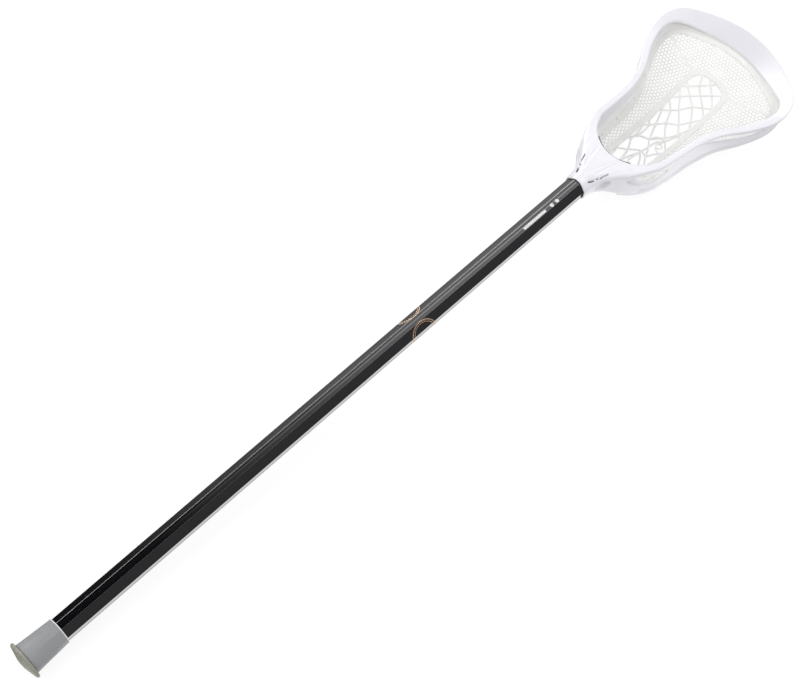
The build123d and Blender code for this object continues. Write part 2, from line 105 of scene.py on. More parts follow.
PAD_HIGH = 12.2
PAD_HALF = 23.2
PAD_THICK = 1.75

# Pocket: distance along the head, half-width, height at the edge, height in the middle.
SAG = [
    (56.0, 34.0, -31.0, -33.0),
    (80.0, 38.0, -37.5, -45.0),
    (110.0, 42.0, -42.5, -53.2),
    (155.0, 47.0, -44.0, -57.2),
    (195.0, 60.0, -42.0, -56.0),
    (225.0, 74.0, -38.5, -48.0),
    (255.0, 80.0, -34.0, -38.5),
    (300.0, 80.0, -26.0, -27.4),
]
SAG_POWER = 3.0
CLOTH = 1.8
POCKET_THROAT = [(56.5, 0.0), (59.5, 13.5), (66.0, 23.0), (76.5, 32.0), (91.0, 38.6)]
TAPE_WIDTH = 6.5
BAND_WIDTH = 7.0
CHANNEL = [(58.0, 17.0), (100.0, 18.4), (150.0, 19.5), (200.0, 20.4), (238.0, 21.0), (246.8, 17.0),
           (250.6, 9.0), (251.4, 0.0)]
MESH_PITCH = 4.3
MESH_HOLE = 3.0
SEAMS = [((246, 27), (259, 72)), ((246, -27), (259, -72))]
SEAM_WIDTH = 1.7

# Strands across the channel's opening, as in the CAD: distance along the head and out.
STRANDS = [
    [(225, 23), (230, 17), (238.5, 7.5), (247, -1), (254, -8), (258, -13)],
    [(206, 24), (215, 15), (223, 7), (230.5, -1.5), (238.5, -11), (244, -18), (248, -23)],
    [(186, 22), (196, 11.5), (203, 5), (215, -4), (221.5, -13), (228, -23)],
    [(155, 21), (163.5, 15), (169.5, 10.5), (179.5, 3.5), (188.5, -7.5), (200.5, -15), (212, -24)],
    [(126, 21), (134, 17.5), (143, 12.5), (149, 2.5), (163.5, -8), (172, -13), (192, -20.5)],
    [(104, 22), (107.5, 19), (117.5, 9), (128, -1.5), (127, -10), (136.5, -15), (146, -22)],
    [(256, 8), (247, -1), (238.5, -11), (227, -22), (222, -27)],
    [(252, 17.5), (247.5, 12.5), (238.5, 7.5), (230.5, -1.5), (221.5, -13), (212, -24)],
    [(234, 23), (230, 17), (223, 7), (215, -4), (200.5, -15), (192, -20.5), (186, -24)],
    [(226, 25), (215, 15), (203, 5), (188.5, -7.5), (178, -16), (172, -23)],
    [(206, 23), (196, 11.5), (179.5, 3.5), (163.5, -8), (148, -22)],
    [(198, 22), (169.5, 10.5), (149, 2.5), (135, -6.5), (127, -10), (109, -20)],
    [(190, 22), (167, 18.5), (163.5, 15), (145, 14), (134, 17.5)],
    [(166, 21), (142, 16.5), (133, 16.5), (117.5, 9), (99, 5), (76, 3)],
    [(76, 12), (92.5, 16), (106, 18), (112, 22)],
    [(80, -10), (104.5, -1.5), (119, -1.5), (137.5, -4), (150.5, -5.5), (158, -11), (180, -18)],
    [(76, -3), (97, 3.5), (112.5, 2), (124, -3), (119, -8), (109, -13), (96, -22)],
    [(149, 2.5), (157.5, -2.5), (159.5, -11.5), (149, -8), (142.5, -12), (138, -22)],
]
RING_AT = (148.5, -11.5)
RING_RADIUS = 3.4
CORD_HALF_WIDTH = 1.1
CORD_HALF_THICK = 0.7

# Prints on the tube, in millimetres from its butt end: bronze rings, and marks (middle, half length,
# half width) at a distance round from the front flat's middle.
RINGS_AT = 475.0
RINGS = [(15.4, 1.0), (13.3, 0.5)]
RING_EDGE = 15.9
MARKS = [(646.0, 17.0, 1.5), (672.0, 2.2, 2.2), (680.0, 2.2, 2.2)]
MARKS_ROUND = -1.5

# Moulded pieces: name, two colours, roughness range, grain, subsurface weight, specular level.
MOULDED = {
    "nylon": ("white_nylon", (0.735, 0.73, 0.775), (0.765, 0.76, 0.80), (0.30, 0.42), 900, 0.0, 0.5),
    "pins": ("pin_nylon", (0.76, 0.755, 0.73), (0.82, 0.815, 0.79), (0.35, 0.5), 900, 0.0, 0.5),
    "sleeve": ("grey_rubber", (0.25, 0.255, 0.262), (0.30, 0.305, 0.312), (0.5, 0.68), 700, 0.0, 0.15),
    "flange": ("olive_rubber", (0.23, 0.23, 0.195), (0.29, 0.29, 0.245), (0.5, 0.7), 600, 0.15, 0.2),
}
# Woven pieces: name, two colours, yarn scale.
WOVEN = {
    "mesh": ("mesh_white_yarn", (0.79, 0.785, 0.765), (0.87, 0.865, 0.85), 260.0),
    "tape": ("tape_white_weave", (0.78, 0.775, 0.75), (0.86, 0.855, 0.84), 220.0),
    "cord": ("cord_white_braid", (0.77, 0.765, 0.75), (0.85, 0.845, 0.83), 300.0),
}
# Printed inks: name, two colours, metallic, roughness.
INKS = {
    "bronze": ("bronze_ink", (0.40, 0.27, 0.16), (0.55, 0.38, 0.24), 0.6, 0.4),
    "pale": ("pale_ink", (0.55, 0.55, 0.56), (0.68, 0.68, 0.69), 0.0, 0.45),
}

# Brightness of what gloss mirrors: along X, and from -Y (0) to +Y (1) panels overhead and edge lights.
AHEAD = [(0.0, 0.02), (0.12, 0.05), (0.24, 0.8), (0.36, 2.1), (0.6, 2.1)]
OVERHEAD = [(0.0, 0.05), (0.44, 0.05), (0.455, 0.8), (0.47, 4.6), (0.485, 0.8), (0.51, 0.5), (0.528, 0.6),
            (0.54, 5.2), (0.552, 0.6), (0.595, 0.7), (0.61, 3.0), (0.625, 0.8), (0.70, 0.7), (0.72, 0.05),
            (1.0, 0.05)]
EDGE_LIGHTS = [(0.0, 0.0), (0.14, 0.0), (0.2, 2.0), (0.3, 2.0), (0.36, 0.0), (0.78, 0.0), (0.81, 11.0),
               (0.92, 11.0), (0.95, 0.0)]

COS_TILT = math.cos(TILT)
SIN_TILT = math.sin(TILT)
random.seed(7)


def stick_to_row(points):
    """Points of the stick, in millimetres, to the row frame, in metres."""
    p = np.asarray(points, float)
    x = p[:, 0] * COS_TILT + p[:, 2] * SIN_TILT + ROW_X
    z = -p[:, 0] * SIN_TILT + p[:, 2] * COS_TILT + ROW_Z
    return np.column_stack([x, p[:, 1], z]) / 1000.0


def head_to_row(points):
    """Points given from the socket's mouth, in millimetres, to the row frame."""
    p = np.array(points, float)
    p[:, 0] += SOCKET_MOUTH_X
    return stick_to_row(p)


def new_object(name, points, faces, material, body="stick"):
    """Mesh object from points in the row frame, riding on a body."""
    mesh = bpy.data.meshes.new(name)
    mesh.from_pydata([tuple(p) for p in points], [], [tuple(f) for f in faces])
    mesh.validate()
    bm = bmesh.new()
    bm.from_mesh(mesh)
    bmesh.ops.recalc_face_normals(bm, faces=bm.faces)
    bm.to_mesh(mesh)
    bm.free()
    obj = bpy.data.objects.new(name, mesh)
    bpy.context.scene.collection.objects.link(obj)
    if material:
        mesh.materials.append(material)
    mesh.shade_smooth()
    if body:
        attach(obj, body)
    return obj


def apply_modifiers(obj):
    """Replace the object's mesh by the mesh with its modifiers applied."""
    bpy.context.view_layer.update()
    graph = bpy.context.evaluated_depsgraph_get()
    mesh = bpy.data.meshes.new_from_object(obj.evaluated_get(graph))
    obj.modifiers.clear()
    obj.data = mesh


def boolean(obj, other, operation):
    """Add an exact boolean with another object."""
    made = obj.modifiers.new(operation.lower(), "BOOLEAN")
    made.operation = operation
    made.solver = "EXACT"
    made.object = other


def curve_through(points, steps, closed=False):
    """Smooth line through points, with chord-length tangents; any number of columns."""
    p = np.asarray(points, float)
    n = len(p)
    if closed:
        line = np.vstack([p[-1], p, p[0], p[1]])
        spans = n
    else:
        line = np.vstack([2 * p[0] - p[1], p, 2 * p[-1] - p[-2]])
        spans = n - 1
    gap = np.maximum(np.linalg.norm(np.diff(line[:, :2], axis=0), axis=1), 1e-6)
    made = []
    for i in range(spans):
        q0, q1, q2, q3 = line[i], line[i + 1], line[i + 2], line[min(i + 3, len(line) - 1)]
        after = gap[min(i + 2, len(gap) - 1)]
        m1 = (q2 - q0) / (gap[i] + gap[i + 1]) * gap[i + 1]
        m2 = (q3 - q1) / (gap[i + 1] + after) * gap[i + 1]
        for t in np.arange(steps) / steps:
            made.append((2 * t**3 - 3 * t**2 + 1) * q1 + (t**3 - 2 * t**2 + t) * m1
                        + (3 * t**2 - 2 * t**3) * q2 + (t**3 - t**2) * m2)
    if not closed:
        made.append(p[-1])
    return np.array(made)


def distances(path):
    """Distance of each point along a line of points."""
    return np.concatenate([[0], np.cumsum(np.linalg.norm(np.diff(path, axis=0), axis=1))])


def points_at(path, wanted):
    """Points at wanted distances along a line of points."""
    places = distances(path)
    return np.column_stack([np.interp(wanted, places, column) for column in path.T])


def evenly(points, gap, closed=False):
    """The same plan line with points a gap apart."""
    p = np.asarray(points, float)
    if closed:
        p = np.vstack([p, p[:1]])
    length = distances(p)[-1]
    wanted = np.linspace(0, length, max(2, int(round(length / gap))) + 1)
    return points_at(p, wanted[:-1] if closed else wanted)


def plan_normals(p, closed=False):
    """Unit normals on the left of a plan line, and its directions."""
    if closed:
        d = np.roll(p, -1, axis=0) - np.roll(p, 1, axis=0)
    else:
        d = np.gradient(p, axis=0)
    d = d / np.linalg.norm(d, axis=1)[:, None]
    return np.column_stack([-d[:, 1], d[:, 0]]), d


def inside(polygon, x, y):
    """Which points are inside a plan polygon."""
    x = np.asarray(x, float)
    y = np.asarray(y, float)
    found = np.zeros(x.shape, bool)
    ax, ay = polygon[:, 0], polygon[:, 1]
    bx, by = np.roll(ax, -1), np.roll(ay, -1)
    for x0, y0, x1, y1 in zip(ax, ay, bx, by):
        crosses = (y0 > y) != (y1 > y)
        if y1 != y0:
            found ^= crosses & (x < (x1 - x0) * (y - y0) / (y1 - y0) + x0)
    return found


def rounded(corners, radius, steps=3):
    """Closed polygon with its corners rounded."""
    p = np.asarray(corners, float)
    made = []
    for before, corner, after in zip(np.roll(p, 1, axis=0), p, np.roll(p, -1, axis=0)):
        into = before - corner
        out = after - corner
        reach_in = min(radius, 0.42 * np.linalg.norm(into))
        reach_out = min(radius, 0.42 * np.linalg.norm(out))
        start = corner + into / np.linalg.norm(into) * reach_in
        end = corner + out / np.linalg.norm(out) * reach_out
        for t in np.linspace(0, 1, steps + 1):
            made.append((1 - t) ** 2 * start + 2 * t * (1 - t) * corner + t * t * end)
    return np.array(made)


def tube_faces(rings, around, closed=False):
    """Quads that join rings of points, with end caps unless the tube is closed."""
    faces = []
    last = rings if closed else rings - 1
    for i in range(last):
        j = (i + 1) % rings
        for k in range(around):
            n = (k + 1) % around
            faces.append((i * around + k, i * around + n, j * around + n, j * around + k))
    if not closed:
        faces.append(tuple(range(around))[::-1])
        faces.append(tuple((rings - 1) * around + k for k in range(around)))
    return faces


# ---------------- materials

def set_values(made, **values):
    """Properties and input values of a shader node."""
    for key, value in values.items():
        if hasattr(made, key):
            setattr(made, key, value)
        else:
            made.inputs[key.replace("_", " ")].default_value = value


def node(tree, kind, **values):
    """New shader node with properties and input values."""
    made = tree.nodes.new(kind)
    set_values(made, **values)
    return made


def ramp(tree, source, stops):
    """Colour ramp over a source, with (place, colour) stops."""
    made = tree.nodes.new("ShaderNodeValToRGB")
    elements = made.color_ramp.elements
    while len(elements) < len(stops):
        elements.new(0.5)
    for element, (place, colour) in zip(elements, stops):
        element.position = place
        element.color = (*colour, 1.0)
    tree.links.new(source, made.inputs["Fac"])
    return made.outputs["Color"]


def greys(tree, source, stops):
    """Ramp of greys over a source, with (place, value) stops."""
    return ramp(tree, source, [(place, (value,) * 3) for place, value in stops])


def mixed(tree, amount, first, second, blend="MIX"):
    """Colour mix; each input is an output to link, or a plain value."""
    made = node(tree, "ShaderNodeMix", data_type="RGBA", blend_type=blend)
    for socket, value in ((made.inputs[0], amount), (made.inputs[6], first), (made.inputs[7], second)):
        if isinstance(value, bpy.types.NodeSocket):
            tree.links.new(value, socket)
        else:
            socket.default_value = value
    return made.outputs[2]


def scaled(tree, source, times, plus):
    """A value times one number, plus another."""
    made = node(tree, "ShaderNodeMath", operation="MULTIPLY_ADD")
    tree.links.new(source, made.inputs[0])
    made.inputs[1].default_value = times
    made.inputs[2].default_value = plus
    return made.outputs[0]


def noise(tree, coords, scale, detail=2.0, rough=0.5, stretch=None):
    """Noise at a scale in the object's own metres; stretch scales its axes."""
    link = tree.links.new
    if stretch:
        mapping = node(tree, "ShaderNodeMapping", Scale=stretch, Rotation=(0, -TILT, 0))
        link(coords, mapping.inputs["Vector"])
        coords = mapping.outputs["Vector"]
    made = node(tree, "ShaderNodeTexNoise", Scale=scale, Detail=detail, Roughness=rough)
    link(coords, made.inputs["Vector"])
    return made.outputs["Fac"]


def start_material(name):
    """Principled material with object coordinates."""
    material = bpy.data.materials.new(name)
    material.use_nodes = True
    tree = material.node_tree
    shader = tree.nodes["Principled BSDF"]
    coords = tree.nodes.new("ShaderNodeTexCoord").outputs["Object"]
    return material, tree, shader, coords


def bump(tree, shader, heights):
    """Chain of bumps: (height output, strength, distance in metres)."""
    last = None
    for height, strength, distance in heights:
        made = node(tree, "ShaderNodeBump", Strength=strength, Distance=distance)
        tree.links.new(height, made.inputs["Height"])
        if last:
            tree.links.new(last, made.inputs["Normal"])
        last = made.outputs["Normal"]
    tree.links.new(last, shader.inputs["Normal"])


def wave(tree, coords, scale, turn, distortion=1.5):
    """Bands across a direction, turned about Z, for yarns."""
    mapping = node(tree, "ShaderNodeMapping", Rotation=(0, 0, turn))
    tree.links.new(coords, mapping.inputs["Vector"])
    made = node(tree, "ShaderNodeTexWave", Scale=scale, Distortion=distortion, Detail=1.0)
    tree.links.new(mapping.outputs["Vector"], made.inputs["Vector"])
    return made.outputs["Fac"]


def moulded(name, dark, light, roughness, grain, subsurface, shine):
    """Injection-moulded plastic or rubber: slow colour drift, fine grain and faint flow marks."""
    material, tree, shader, coords = start_material(name)
    link = tree.links.new
    drift = noise(tree, coords, 14.0, 3.0)
    link(ramp(tree, drift, [(0.3, dark), (0.7, light)]), shader.inputs["Base Color"])
    gloss = noise(tree, coords, 60.0, 4.0, 0.6)
    low, high = roughness
    link(greys(tree, gloss, [(0.35, low), (0.7, high)]), shader.inputs["Roughness"])
    fine = noise(tree, coords, grain, 2.0)
    flow = noise(tree, coords, 90.0, 2.0, 0.5, (0.25, 1.0, 1.0))
    bump(tree, shader, [(flow, 0.06, 0.0004), (fine, 0.12, 0.0001)])
    set_values(shader, Specular_IOR_Level=shine)
    if subsurface:
        set_values(shader, Subsurface_Weight=subsurface, Subsurface_Radius=(0.003, 0.003, 0.003),
                   Subsurface_Scale=1.0)
    return material


def woven(name, dark, light, yarn):
    """Knitted nylon yarn: crossed bands, fibre noise and a soft sheen."""
    material, tree, shader, coords = start_material(name)
    link = tree.links.new
    drift = noise(tree, coords, 40.0, 3.0)
    fibre = noise(tree, coords, 1600.0, 3.0, 0.7)
    shade = node(tree, "ShaderNodeMath", operation="MULTIPLY_ADD")
    link(fibre, shade.inputs[0])
    shade.inputs[1].default_value = 0.45
    link(drift, shade.inputs[2])
    link(ramp(tree, shade.outputs[0], [(0.45, dark), (0.95, light)]), shader.inputs["Base Color"])
    link(greys(tree, fibre, [(0.3, 0.72), (0.7, 0.92)]), shader.inputs["Roughness"])
    one = wave(tree, coords, yarn, math.radians(40))
    two = wave(tree, coords, yarn, math.radians(-40))
    bump(tree, shader, [(one, 0.5, 0.0002), (two, 0.5, 0.0002), (fibre, 0.25, 0.0001)])
    set_values(shader, Sheen_Weight=0.25, Sheen_Roughness=0.4)
    return material


def add_painted_light_band(material, at, colour, beyond=True):
    """Another colour on a piece beyond (or short of) a distance along the stick, in metres; used for the
    sleeve's painted highlight and painted shade.
    """
    tree = material.node_tree
    link = tree.links.new
    shader = tree.nodes["Principled BSDF"]
    along = node(tree, "ShaderNodeVectorMath", operation="DOT_PRODUCT")
    link(tree.nodes.new("ShaderNodeTexCoord").outputs["Object"], along.inputs[0])
    along.inputs[1].default_value = (COS_TILT, 0.0, -SIN_TILT)
    start = (ROW_X * COS_TILT - ROW_Z * SIN_TILT) / 1000.0
    painted_light_mask = node(tree, "ShaderNodeMath", operation="GREATER_THAN" if beyond else "LESS_THAN")
    link(along.outputs["Value"], painted_light_mask.inputs[0])
    painted_light_mask.inputs[1].default_value = start + at
    below = shader.inputs["Base Color"].links[0].from_socket
    link(mixed(tree, painted_light_mask.outputs[0], below, colour), shader.inputs["Base Color"])
    return material


def make_foam():
    """Closed-cell foam: black, matt, with small cells."""
    material, tree, shader, coords = start_material("ball_stop_foam")
    cells = node(tree, "ShaderNodeTexVoronoi", Scale=900.0)
    link = tree.links.new
    link(coords, cells.inputs["Vector"])
    link(greys(tree, cells.outputs["Distance"], [(0.1, 0.008), (0.6, 0.03)]), shader.inputs["Base Color"])
    set_values(shader, Roughness=0.95)
    bump(tree, shader, [(cells.outputs["Distance"], 0.6, 0.0003)])
    return material


def make_shaft_paint():
    """Black coated alloy: fine lengthwise brush lines, faint scuffs, slight orange peel."""
    material, tree, shader, coords = start_material("shaft_black_coat")
    link = tree.links.new
    drift = noise(tree, coords, 25.0, 3.0)
    link(ramp(tree, drift, [(0.3, (0.0012, 0.0011, 0.0018)), (0.75, (0.003, 0.0028, 0.004))]),
         shader.inputs["Base Color"])
    brushed = noise(tree, coords, 900.0, 3.0, 0.6, (0.012, 1.0, 1.0))
    scuffs = noise(tree, coords, 120.0, 5.0, 0.7, (0.2, 1.0, 1.0))
    wear = node(tree, "ShaderNodeMath", operation="ADD")
    link(brushed, wear.inputs[0])
    link(scuffs, wear.inputs[1])
    link(greys(tree, wear.outputs[0], [(0.6, 0.035), (1.0, 0.075)]), shader.inputs["Roughness"])
    peel = noise(tree, coords, 350.0, 2.0)
    bump(tree, shader, [(peel, 0.005, 0.0001), (brushed, 0.012, 0.00004)])
    set_values(shader, IOR=1.75)
    return material


def make_steel():
    """Plated screw steel with turned marks."""
    material, tree, shader, coords = start_material("screw_plated_steel")
    link = tree.links.new
    set_values(shader, Metallic=1.0)
    marks = noise(tree, coords, 1500.0, 3.0)
    link(ramp(tree, marks, [(0.3, (0.42, 0.42, 0.43)), (0.7, (0.62, 0.62, 0.63))]),
         shader.inputs["Base Color"])
    link(greys(tree, marks, [(0.3, 0.25), (0.7, 0.45)]), shader.inputs["Roughness"])
    bump(tree, shader, [(marks, 0.1, 0.0001)])
    return material


def make_print(name, dark, light, metallic, roughness):
    """Thin printed ink with a slightly uneven surface."""
    material, tree, shader, coords = start_material(name)
    link = tree.links.new
    specks = noise(tree, coords, 1200.0, 3.0)
    link(ramp(tree, specks, [(0.3, dark), (0.7, light)]), shader.inputs["Base Color"])
    set_values(shader, Metallic=metallic, Roughness=roughness)
    bump(tree, shader, [(specks, 0.1, 0.00005)])
    return material


def make_materials():
    """Every material, by a short name."""
    made = {"foam": make_foam(), "shaft": make_shaft_paint(), "steel": make_steel()}
    for table, make in ((MOULDED, moulded), (WOVEN, woven), (INKS, make_print)):
        for key, values in table.items():
            made[key] = make(*values)
    return made


# ---------------- head

def on_wall(station, direction, section):
    """Points of a wall's section (distance in from its outer edge, height) in the head's frame."""
    return np.column_stack([station[0] + direction[1] * section[:, 0],
                            station[1] - direction[0] * section[:, 0], section[:, 1]])


def wall_section(station, direction):
    """Section of the side wall at one station, as points in the head's frame."""
    along, _, top, rail, drop, foot, inset, base = station
    slope = wall_slope(inset)
    inner_top = top + drop
    web = 3.2
    web_top_in = inset * 0.25 + web + slope * (rail - web - 1.0 - inset * 0.25)
    web_low_in = inset + web + slope * (base - web - 0.4)
    lip = 4.5 - 1.8 * slope
    corners = [
        (0.0, top),
        (rail * 0.5, (top + inner_top) / 2 + 0.25),
        (rail, inner_top),
        (rail - 0.2, inner_top - 5.0 + 3.6 * slope),
        (web_top_in, inner_top - 7.5 + 5.4 * slope),
        (web_low_in, foot + 9.0 - 7.2 * slope),
        (inset + base, foot + 6.0 - 4.8 * slope),
        (inset + base - 0.2, foot),
        (inset, foot),
    ]
    dent = RECESS * (1 - slope) * min(1.0, max(0.0, (along - 50.0) / 18.0))
    fall = np.array([inset - 0.3, foot - top + lip])
    for share, depth in ((0.84, 0.0), (0.80, dent), (0.06, dent), (0.01, 0.0)):
        corners.append((0.3 + fall[0] * share + depth, top - lip + fall[1] * share))
    return on_wall(station, direction, rounded(corners, 1.3))


def both_walls(steps):
    """Stations of one wall, the scoop and the other wall, with smooth steps between them."""
    other = [(row[0], -row[1]) + row[2:] for row in WALL[:-1]]
    return curve_through(WALL + other[::-1], steps)


def plan_directions(stations):
    """Unit plan direction at each station."""
    directions = np.gradient(stations[:, :2], axis=0)
    return directions / np.linalg.norm(directions, axis=1)[:, None]


def wall_slope(inset):
    """How far the wall has turned from upright (0) to the scoop's slope (1)."""
    return min(1.0, max(0.0, (inset - 3.0) / 12.5))


def make_wall_mesh():
    """Both side walls and the scoop in one band, from one side of the throat to the other."""
    stations = both_walls(10)
    rings = [wall_section(s, d) for s, d in zip(stations, plan_directions(stations))]
    return np.vstack(rings), tube_faces(len(rings), len(rings[0]))


def make_throat_mesh():
    """Socket and throat: rounded eight-sided sections."""
    rings = []
    for along, top_half, mid_half, low_half, top, upper, lower, low in curve_through(THROAT, 8):
        right = [(top_half, top), (mid_half, upper), (mid_half, lower), (low_half, low)]
        section = rounded(right + [(-y, z) for y, z in reversed(right)], 3.2, 5)
        rings.append(np.column_stack([np.full(len(section), along), section]))
    return np.vstack(rings), tube_faces(len(rings), len(rings[0]))


def cutter(points, faces):
    """Temporary object in the head's frame, in millimetres."""
    return new_object("cutter", np.asarray(points, float), faces, None, body=None)


def prism(outline, low, high, axis):
    """Points and faces of a prism over a plan outline (axis 2) or a side outline (axis 1)."""
    flat = np.asarray(outline, float)
    n = len(flat)
    ends = []
    for height in (low, high):
        columns = [flat[:, 0], flat[:, 1]]
        columns.insert(axis, np.full(n, height))
        ends.append(np.column_stack(columns))
    return np.vstack(ends), tube_faces(2, n)


def octagon(grow):
    """Section of the tube, moved out by grow."""
    wide, tall = SHAFT_WIDE + grow, SHAFT_TALL + grow
    front, side = FRONT_HALF + 0.4 * grow, SIDE_HALF + 0.4 * grow
    right = [(front, tall), (wide, side), (wide, -side), (front, -tall)]
    return np.array(right + [(-y, z) for y, z in reversed(right)])


def slot_outline(along, out, length, angle):
    """Narrow rounded slot in plan."""
    turn = math.radians(angle)
    half, width = length / 2, SLOT_HALF_WIDTH
    corners = rounded([(-half, -width), (half, -width), (half, width), (-half, width)], width, 3)
    return np.column_stack([along + corners[:, 0] * math.cos(turn) - corners[:, 1] * math.sin(turn),
                            out + corners[:, 0] * math.sin(turn) + corners[:, 1] * math.cos(turn)])


def head_cutters():
    """Everything taken out of the head's moulding."""
    mouth = curve_through(BOWL_MOUTH, 6)
    half = np.vstack([mouth, [(mouth[-1][0], 0.0)]])[:-1]
    plan = np.vstack([half, (half * (1, -1))[::-1][:-1]])
    made = [prism(plan, -60, 60, 2)]
    bore = np.column_stack([np.zeros(8), octagon(0.05)])
    made.append((np.vstack([bore - (5, 0, 0), bore + (SOCKET_DEPTH, 0, 0)]), tube_faces(2, 8)))
    for side in (1, -1):
        for window in (NEAR_WINDOW, FAR_WINDOW):
            low, high = sorted((WINDOW_DEPTH * side, 120 * side))
            made.append(prism(curve_through(window, 6, closed=True), low, high, 1))
        points, faces = prism(rounded(THROAT_RECESS, 2.5), 0.0, 1.0, 1)
        inner = 13.5 + (points[:, 0] - 5.0) * 2.5 / 31.0
        points[:, 1] = side * np.where(points[:, 1] > 0.5, 60.0, inner)
        made.append((points, faces))
    for radius, low, high in SCREW_HOLES:
        circle = [(SCREW_AT + radius * math.cos(t), radius * math.sin(t))
                  for t in np.linspace(0, 2 * math.pi, 25)[:-1]]
        made.append(prism(circle, low, high, 2))
    return made


def slot_cutters():
    """Narrow slots in both shoulders of the throat, as one cutter."""
    parts = []
    for along, out, length, angle in THROAT_SLOTS:
        for side in (1, -1):
            outline = slot_outline(along, out * side, length, angle * side)
            parts.append(prism(outline, SLOT_FLOOR, 20.0, 2))
    return cutter(*merge(parts))


def off_line(points, start, end):
    """Share of the way along a plan line for each plan point, and its distance from the line."""
    line = np.subtract(end, start)
    t = np.clip(((points - start) @ line) / (line @ line), 0, 1)
    return t, np.linalg.norm(points - (start + t[:, None] * line), axis=1)


def crease(points, start, end, depth, width):
    """Shallow groove in the top of the throat along a plan line."""
    t, gap = off_line(points[:, :2], start, end)
    ends = np.clip(np.minimum(t, 1 - t) * 6, 0, 1)
    return depth * ends * np.exp(-(gap / width) ** 2)


def vertex_values(mesh, what):
    """One row of three numbers for each vertex."""
    values = np.zeros(len(mesh.vertices) * 3)
    mesh.vertices.foreach_get(what, values)
    return values.reshape(-1, 3)


def make_head(material):
    """The moulding, joined, cut, remeshed finely and eased so that its edges are rounded."""
    obj = cutter(*make_wall_mesh())
    obj.name = "head_moulding"
    throat = cutter(*make_throat_mesh())
    boolean(obj, throat, "UNION")
    cutters = [cutter(*made) for made in head_cutters()]
    for other in cutters:
        boolean(obj, other, "DIFFERENCE")
    apply_modifiers(obj)
    for other in [throat] + cutters:
        bpy.data.objects.remove(other, do_unlink=True)
    remesh = obj.modifiers.new("even", "REMESH")
    remesh.mode = "VOXEL"
    remesh.voxel_size = 0.8
    ease = obj.modifiers.new("ease", "SMOOTH")
    ease.factor = 0.5
    ease.iterations = 6
    apply_modifiers(obj)
    slots = slot_cutters()
    boolean(obj, slots, "DIFFERENCE")
    apply_modifiers(obj)
    bpy.data.objects.remove(slots, do_unlink=True)
    mesh = obj.data
    co = vertex_values(mesh, "co") + 0.25 * vertex_values(mesh, "normal")
    top = np.clip((co[:, 2] - 9.0) / 3.0, 0, 1) * (co[:, 0] < 60)
    for groove in CREASES:
        co[:, 2] -= top * crease(co, *groove)
    mesh.vertices.foreach_set("co", head_to_row(co).ravel())
    mesh.update()
    mesh.materials.clear()
    mesh.materials.append(material)
    mesh.shade_smooth()
    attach(obj, "stick")
    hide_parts("head_frame")
    return obj


def make_pad(material):
    """Foam strip on the ball stop, with soft edges and a slightly dented face."""
    line = curve_through(BOWL_MOUTH, 8)
    line = line[line[:, 1] < PAD_HALF]
    line = np.vstack([(line * (1, -1))[::-1][:-1], line])
    line = evenly(line, 1.0)
    normals, _ = plan_normals(line)
    heights = np.linspace(PAD_LOW, PAD_HIGH, 15)
    rings = []
    for place, normal in zip(line, normals):
        section = []
        for z in heights:
            section.append((*(place - normal * 0.1), z))
        for z in heights[::-1]:
            dent = 0.12 * math.sin(0.9 * place[1]) * math.sin(0.5 * z)
            edge = min(z - PAD_LOW, PAD_HIGH - z)
            thick = PAD_THICK - 0.5 * max(0.0, 1 - edge / 1.5) ** 2 + dent
            section.append((*(place - normal * thick), z))
        rings.append(section)
    faces = tube_faces(len(rings), len(rings[0]))
    obj = new_object("ball_stop_foam_strip", head_to_row(np.vstack(rings)), faces, material)
    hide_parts("ball_stop_pad")
    return obj


# ---------------- pocket

SAG_FINE = curve_through(SAG, 12)


def sag_height(x, y):
    """Height of the pocket's upper side."""
    x = np.asarray(x, float)
    half = np.interp(x, SAG_FINE[:, 0], SAG_FINE[:, 1])
    edge = np.interp(x, SAG_FINE[:, 0], SAG_FINE[:, 2])
    middle = np.interp(x, SAG_FINE[:, 0], SAG_FINE[:, 3])
    return middle + (edge - middle) * (np.abs(y) / half) ** SAG_POWER


def pocket_outline():
    """Edge of the pocket in plan, as a closed smooth line."""
    half = list(POCKET_THROAT)
    beyond = (WALL[-2][0], -WALL[-2][1]) + WALL[-2][2:]
    directions = plan_directions(curve_through(WALL + [beyond], 10))[::10]
    for (along, out, _, rail, _, _, inset, base), d in list(zip(WALL, directions))[3:]:
        depth = max(rail, inset + base) + 0.8
        half.append((along + d[1] * depth, out - d[0] * depth))
    half[-1] = (half[-1][0], 0.0)
    half = np.array(half)
    loop = np.vstack([half, (half * (1, -1))[::-1][1:-1]])
    return evenly(curve_through(loop, 12, closed=True), 1.0, closed=True)


def moved_in(loop, depth):
    """The same loop, moved to its inner side."""
    normals, _ = plan_normals(loop, closed=True)
    middle = loop.mean(axis=0)
    if np.mean(np.sum((middle - loop) * normals, axis=1)) < 0:
        normals = -normals
    return loop + normals * depth


def channel_line(grow):
    """Open line round the channel, from the throat up one side and down the other."""
    half = curve_through(CHANNEL, 12)
    line = np.vstack([half, (half * (1, -1))[::-1][1:]])
    normals, _ = plan_normals(line)
    if normals[0][1] < 0:
        normals = -normals
    return line + normals * grow


